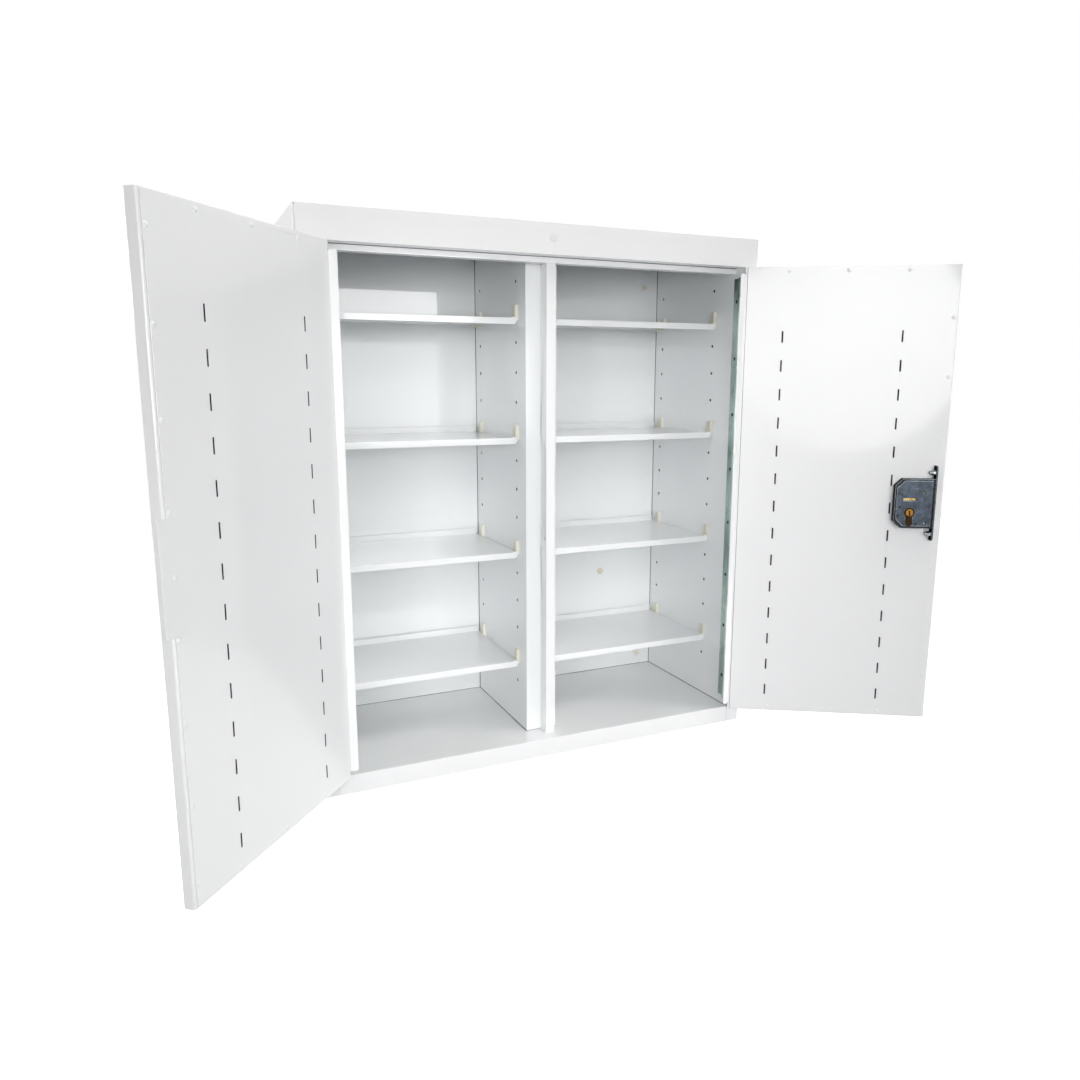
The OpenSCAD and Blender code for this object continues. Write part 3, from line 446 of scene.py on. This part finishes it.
hinge_zinc = plated("hinge_zinc", (0.11, 0.16, 0.15), (0.62, 0.74, 0.69), 0.30, 12, (1, 1, 0.6))
pin_steel = plated("pin_steel", (0.42, 0.44, 0.45), (0.58, 0.60, 0.60), 0.3)
screw_zinc = plated("screw_zinc", (0.55, 0.56, 0.57), (0.80, 0.81, 0.82), 0.25, 400)
# near black: painted shade of the countersunk recesses that the hinge screws sit in
small_screw = plated("small_screw", (0.01, 0.02, 0.02), (0.09, 0.12, 0.12), 0.30, 300)
nut_steel = plated("nut_steel", (0.04, 0.055, 0.06), (0.48, 0.53, 0.55), 0.2, 200)
lock_steel = plated("lock_steel", (0.030, 0.037, 0.047), (0.066, 0.080, 0.100), 0.34, 90)
# the rim of the lock cover, painted dark as painted shade
lock_rim_shade = plated("lock_rim_shade", (0.006, 0.007, 0.009), (0.022, 0.025, 0.030), 0.4, 90)
lock_shadow = plated("lock_shadow", (0.006, 0.007, 0.008), (0.012, 0.013, 0.015), 0.75, 50, metallic=0.0)
# a bright metal for the rounded edges of the lock cover and forend: a painted highlight
lock_edge_highlight = plated("lock_edge_highlight", (0.10, 0.115, 0.125), (0.24, 0.26, 0.28), 0.28, 60)
# the forend's zinc is painted nearly black: painted shade for the deep shadow it lies in, with bright
# bevels
forend_zinc = plated("forend_zinc", (0.014, 0.016, 0.018), (0.07, 0.08, 0.088), 0.3, 80, (1, 1, 0.2))
bolt_brass = plated("bolt_brass", (0.04, 0.026, 0.010), (0.60, 0.44, 0.17), 0.33, 420)
cylinder_brass = plated("cylinder_brass", (0.012, 0.007, 0.004), (0.035, 0.020, 0.009), 0.38, 150)
plug_brass = plated("plug_brass", (0.10, 0.045, 0.010), (0.36, 0.18, 0.045), 0.34, 260)
cam_steel = plated("cam_steel", (0.3, 0.3, 0.3), (0.45, 0.45, 0.45), 0.45, 200)
escutcheon_steel = plated("escutcheon_steel", (0.50, 0.51, 0.52), (0.66, 0.67, 0.68), 0.28, 90, (6, 1, 1))
# near-black dull paint for faces that look into hollows: painted shade
hollow_shade = plated("hollow_shade", (0.035, 0.037, 0.04), (0.06, 0.062, 0.065), 0.7, 25, metallic=0.0)
ivory_plastic = plastic("ivory_plastic", (0.62, 0.55, 0.40), (0.78, 0.72, 0.58), 0.5)
flange_plastic = plastic("flange_plastic", (0.80, 0.80, 0.78), (0.85, 0.85, 0.83), 0.45)
clip_plastic = plastic("clip_plastic", (0.76, 0.74, 0.62), (0.86, 0.84, 0.75), 0.35)
plug_plastic = plastic("plug_plastic", (0.78, 0.78, 0.78), (0.84, 0.84, 0.84), 0.3)

# the glare of these metals at a slant is tinted dark: painted shade for the dim room they would mirror
for metal, dimmed_reflection in ((lock_steel, (0.3, 0.32, 0.35)), (lock_rim_shade, (0.3, 0.32, 0.35)),
                     (nut_steel, (0.3, 0.32, 0.35)), (forend_zinc, (0.2, 0.22, 0.25))):
    metal.node_tree.nodes["Principled BSDF"].inputs["Specular Tint"].default_value = (*dimmed_reflection, 1)
lock_shadow.node_tree.nodes["Principled BSDF"].inputs["Specular IOR Level"].default_value = 0.15
print("finishes:", len(bpy.data.materials))

# %% [markdown]
# ## Put the finishes on the solids
# Every solid has a slot in the frame, and most slots take the finish of the same name. A few solids take a
# better one: the sheets with joints, the small screws of hinges and lock, and the flanges of the grommets.

# %% Put the finishes on the solids
finish_of = {"body_paint": body_paint, "door_paint": door_paint, "shelf_paint": shelf_paint,
             "rivet_paint": door_paint, "plug_plastic": plug_plastic, "ivory_plastic": ivory_plastic,
             "clip_plastic": clip_plastic, "hinge_zinc": hinge_zinc, "pin_steel": pin_steel,
             "screw_zinc": screw_zinc, "lock_steel": lock_steel, "forend_zinc": forend_zinc,
             "bolt_brass": bolt_brass, "cylinder_brass": cylinder_brass, "plug_brass": plug_brass,
             "cam_steel": cam_steel, "escutcheon_steel": escutcheon_steel}
better = {"back_panel": back_paint, "top_rail": rail_light_and_shadow_paint, "fascia": fascia_shaded_paint,
          "floor_panel": floor_lightened_paint, "top_panel": wall_paint, "right_door_skin": skin_paint,
          "forend_screws": nut_steel, "wall_grommets": flange_plastic}
for side in ("left_", "right_"):
    better[side + "inner_wall"] = better[side + "divider_wall"] = wall_paint
    better[side + "hinge_body_screws"] = better[side + "hinge_door_screws"] = small_screw
slot_of = {p["node"]: p["material_slot"] for p in frame["record"]["subparts"]}
body_of = {n: body for body, names in frame["record"]["behaviour"]["bodies"].items() for n in names}
for name, node in nodes.items():
    for place in node.material_slots:
        place.material = better.get(name, finish_of[slot_of[name]])
print("finished solids:", len(slot_of))

# %% [markdown]
# ## Softened sheet edges
# A press brake and the paint leave no sharp edge. Each sheet or turned solid is copied as one clean mesh:
# points closer than 0.01 mm are joined and flat areas dissolved, so that a fine bevel can run round every
# edge. The copy stands in for its solid and moves with the same body.

# %% Softened copies
WELD = 1e-5                  # points closer than this become one
FLAT = math.radians(1.0)     # faces that meet at less are one flat area
SHARP = math.radians(32)     # edges that turn more are rounded
SHORT_EDGE = 0.004           # the edges of small holes are shorter than this


def softened(name, width, short=None, refill=False):
    """A copy of a solid whose sharp edges are rounded by width, in metres.

    Where short is given, short edges, which are those of small holes, get that share of the width.
    Refill cuts the flat faces into triangles, for a face whose hole lies so near its edge that it would
    otherwise be filled wrongly after the rounding.
    """
    solid = nodes[name]
    mesh = bmesh.new()
    mesh.from_mesh(solid.data)
    bmesh.ops.remove_doubles(mesh, verts=mesh.verts, dist=WELD)
    bmesh.ops.dissolve_limit(mesh, angle_limit=FLAT, verts=mesh.verts, edges=mesh.edges)
    if refill:
        bmesh.ops.triangulate(mesh, faces=mesh.faces)
    if short:
        weight = mesh.edges.layers.float.new("bevel_weight_edge")
        for edge in mesh.edges:
            if edge.calc_face_angle(0) > SHARP:
                edge[weight] = 1 if edge.calc_length() > SHORT_EDGE else short
    data = bpy.data.meshes.new(name + "_soft")
    mesh.to_mesh(data)
    mesh.free()
    for finish in solid.data.materials:
        data.materials.append(finish)
    data.shade_smooth()
    piece = bpy.data.objects.new(name + "_soft", data)
    bpy.context.scene.collection.objects.link(piece)
    bevel = piece.modifiers.new("edge", "BEVEL")
    bevel.width = width
    bevel.segments = 2
    bevel.limit_method = "WEIGHT" if short else "ANGLE"
    bevel.angle_limit = SHARP
    bevel.use_clamp_overlap = False
    normals = piece.modifiers.new("normals", "WEIGHTED_NORMAL")
    normals.weight = 100
    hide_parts(name)
    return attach(piece, body_of[name])


edge_radius = {"inner_wall": 0.0003, "side_panel": 0.0005, "fascia": 0.0005, "sill": 0.0004,
               "top_rail": 0.0005, "shelf": 0.0005, "door_tray": 0.0005, "door_skin": 0.00035,
               "mullion_nose": 0.0005, "divider_wall": 0.0005, "keep_plate": 0.0003,
               "hinge_body_leaf": 0.0004, "hinge_door_leaf": 0.0004, "lock_cover": 0.0008,
               "lock_case": 0.0003, "lock_forend": 0.0005, "lock_bolt": 0.0005,
               "cylinder_body": 0.0004, "cylinder_plug": 0.0003, "escutcheon": 0.0005}
soft = {}
for name in list(nodes):
    if "screws" in name or "clips" in name:
        continue
    for part, width in edge_radius.items():
        if part in name:
            soft[name] = softened(name, width, short=0.25 if name == "lock_cover" else None,
                                  refill=name == "mullion_nose")
            break
print("softened:", len(soft))

# %% [markdown]
# ## Dark hollows
# Through the slots of the door skins and the holes for the shelf clips the eye looks into hollow sheet
# metal, where hardly any light comes. The faces that look into a hollow, and the cut edges of its slots
# and holes, are painted near black as painted shade. They are picked by place and by the direction in which
# they face.

# %% Helpers for picking faces
FACING, ASIDE = 0.9, 0.5    # a normal's share of a direction: more faces it, less stands across it
SLIVER = 1e-7               # a face of a smaller area, in square metres, has no dependable normal


def faces_of(mesh):
    """The centres, normals and areas of a mesh's faces, as arrays."""
    count = len(mesh.polygons)
    centres, normals, areas = np.empty(3 * count), np.empty(3 * count), np.empty(count)
    mesh.polygons.foreach_get("center", centres)
    mesh.polygons.foreach_get("normal", normals)
    mesh.polygons.foreach_get("area", areas)
    return centres.reshape(-1, 3), normals.reshape(-1, 3), areas


def repaint(piece, finish, chosen):
    """Gives the chosen faces of a piece a finish of their own, and returns how many there are."""
    mesh = piece.data
    mesh.materials.append(finish)
    numbers = np.empty(len(mesh.polygons), dtype=np.int32)
    mesh.polygons.foreach_get("material_index", numbers)
    numbers[chosen] = len(mesh.materials) - 1
    mesh.polygons.foreach_set("material_index", numbers)
    return int(chosen.sum())


print("faces of a door tray:", len(faces_of(soft["left_door_tray"].data)[0]))

# %% Hollow doors and walls
def shade_door_hollow(tray, skin, step=0.004, margin=0.006):
    """Gives the faces that look into a door's hollow, and the cut edges of its slots, the near-black
    painted shade.

    With s along the skin, n from the skin to the tray and z up, a face of the tray looks inward if a step
    along its normal stays in the tray's box. On the skin these are the back face, from margin inside one
    upright edge of the box to margin inside the other, and the slot walls, which keep off all four edges.
    """
    points, along = plan_of(skin.data)
    across = np.array([-along[1], along[0]])
    across *= np.sign((corners(tray.data)[:, :2].mean(0) - points.mean(0)) @ across)
    turn = np.array([[*along, 0], [*across, 0], [0, 0, 1]])
    low, high = box_of(corners(tray.data) @ turn.T)
    shaded = 0
    for piece in (tray, skin):
        centres, normals, areas = faces_of(piece.data)
        centres, normals = centres @ turn.T, normals @ turn.T
        if piece is tray:
            ahead = centres + step * normals
            inward = ((ahead > low) & (ahead < high)).all(axis=1)
        else:
            within = (centres > low + margin) & (centres < high - margin)
            slot_wall = (abs(normals[:, 1]) < ASIDE) & within[:, 2]
            inward = within[:, 0] & ((normals[:, 1] > FACING) | slot_wall)
        shaded += repaint(piece, hollow_shade, inward & (areas >= SLIVER))
    return shaded


def shade_wall_hollow(piece, keep, margin=0.02):
    """Gives a wall's hidden side, and the walls of its shelf holes, the near-black painted shade of the
    hollow behind.

    Keep is the direction along X of the side that stays white. Faces nearer than margin to the wall's
    front, back, top or bottom edge stay white too, unless they are part of the hidden side.
    """
    low, high = box_of(corners(piece.data))
    centres, normals, _ = faces_of(piece.data)
    within = ((centres > low + margin) & (centres < high - margin))[:, 1:].all(axis=1)
    hidden = normals[:, 0] * keep < -FACING
    return repaint(piece, hollow_shade, hidden | ((abs(normals[:, 0]) < ASIDE) & within))


for side in ("left", "right"):
    print(side, "door, faces lined:", shade_door_hollow(soft[side + "_door_tray"], soft[side + "_door_skin"]))
for side, out in (("left", -1), ("right", 1)):
    for part, keep in (("inner_wall", -out), ("divider_wall", out), ("side_panel", out)):
        print(side, part, "faces lined:", shade_wall_hollow(soft[side + "_" + part], keep))

# %% [markdown]
# ## The lock
# The cover of the lock is a pressed plate: a raised face inside a rim, with edges and walls that fall away
# into shade. The bevel of its copy takes a bright metal as a painted highlight, the rim a darker one as
# painted shade, and the faces that don't look out of the door, with the walls of its small holes, take the
# black as painted shadow. The forend's bevel gets the same painted highlight, and the whole case the black.

# %% Shade and edge of the lock
def edge_highlight(piece):
    """Gives the rounding of a piece a bright metal, a painted highlight along its edges."""
    piece.data.materials.append(lock_edge_highlight)
    piece.modifiers["edge"].material = len(piece.data.materials) - 1


def shade_cover(piece, solid, step=0.0013, slope=0.7):
    """Paints the rim of the cover darker and its walls black, as painted shade, and gives the bevel a
    painted highlight.

    From the top down lie the rivet heads, the raised face 0.9 mm lower and the rim 0.8 mm below that, so
    step, from the rivet heads down, is half way between the raised face and the rim. A face is a wall if
    less than slope of its normal points out of the door or into it.
    """
    points = corners(solid.data)
    _, normals, areas = faces_of(solid.data)
    out = normals[areas.argmax()]
    out *= np.sign((points.mean(0) - corners(nodes["lock_case"].data).mean(0)) @ out)
    centres, normals, _ = faces_of(piece.data)
    walls = abs(normals @ out) < slope
    rim = ~walls & (centres @ out < (points @ out).max() - step)
    counts = [repaint(piece, lock_shadow, walls), repaint(piece, lock_rim_shade, rim)]
    edge_highlight(piece)
    return counts


print("lock cover, faces of walls and rim:", shade_cover(soft["lock_cover"], nodes["lock_cover"]))
# painted highlight on the forend's bevel
edge_highlight(soft["lock_forend"])
# the whole lock case is painted black as painted shadow
soft["lock_case"].data.materials[0] = lock_shadow

# %% [markdown]
# ## Grommet skins
# The wall grommets are moulded with a thin skin across the bore, which the fixing screw pierces. Each skin
# is a shallow dome with a pressed cross, made as a polar grid of points.

# %% Grommet skins
def grommet_skin(name, x, y, z, radius=0.00402, dome=0.6, groove=0.35, width=0.4, rings=10, spokes=48):
    """A dome across a bore that runs along Y, with a groove along each of its two diameters.

    With t = r / radius and a = the angle, depth = dome (1 - t^2) - groove (1 - t^4) exp(-(g / width)^2),
    where g is the smaller of |r cos a| and |r sin a|, so the groove fades out towards the rim. The place
    and the radius are in metres, the dome, the groove and its width in millimetres.
    """
    t, a = np.meshgrid(np.linspace(0, 1, rings + 1)[1:], np.linspace(0, 2 * np.pi, spokes, endpoint=False),
                       indexing="ij")
    across, up = radius * t * np.cos(a), radius * t * np.sin(a)
    cross = np.exp(-(1000 * np.minimum(abs(across), abs(up)) / width) ** 2) * (1 - t ** 4)
    deep = (dome * (1 - t ** 2) - groove * cross) / 1000
    points = np.stack([x + across, y - deep, z + up], axis=-1).reshape(-1, 3)
    points = np.vstack([points, [x, y - (dome - groove) / 1000, z]])
    k = np.arange(spokes)
    following = (k + 1) % spokes
    fan = np.stack([np.full(spokes, len(points) - 1), k, following], axis=-1)
    ring = spokes * np.arange(rings - 1)[:, None]
    bands = np.stack([ring + k, ring + spokes + k, ring + spokes + following, ring + following], axis=-1)
    mesh = bpy.data.meshes.new(name)
    mesh.from_pydata(points.tolist(), [], fan.tolist() + bands.reshape(-1, 4).tolist())
    mesh.materials.append(ivory_plastic)
    mesh.shade_smooth()
    piece = bpy.data.objects.new(name, mesh)
    bpy.context.scene.collection.objects.link(piece)
    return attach(piece, body_of["wall_grommets"])


EDGE_TO_BORE = 0.0085    # from the edge of a flange to the middle of its bore
SKIN_DEPTH = 0.001       # from the face of the flange back to the skin
low, high = extent("wall_grommets")
for i, x in enumerate((low[0] + EDGE_TO_BORE, high[0] - EDGE_TO_BORE)):
    for k, z in enumerate((low[2] + EDGE_TO_BORE, high[2] - EDGE_TO_BORE)):
        grommet_skin("grommet_skin_%d%d" % (i, k), x, low[1] + SKIN_DEPTH, z)

# %% [markdown]
# ## Close
# The plain Standard view keeps the white background white.

# %% Close
bpy.context.scene.view_settings.view_transform = "Standard"
low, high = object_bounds()
print("visual box:", [round(v, 4) for v in (*low, *high)])
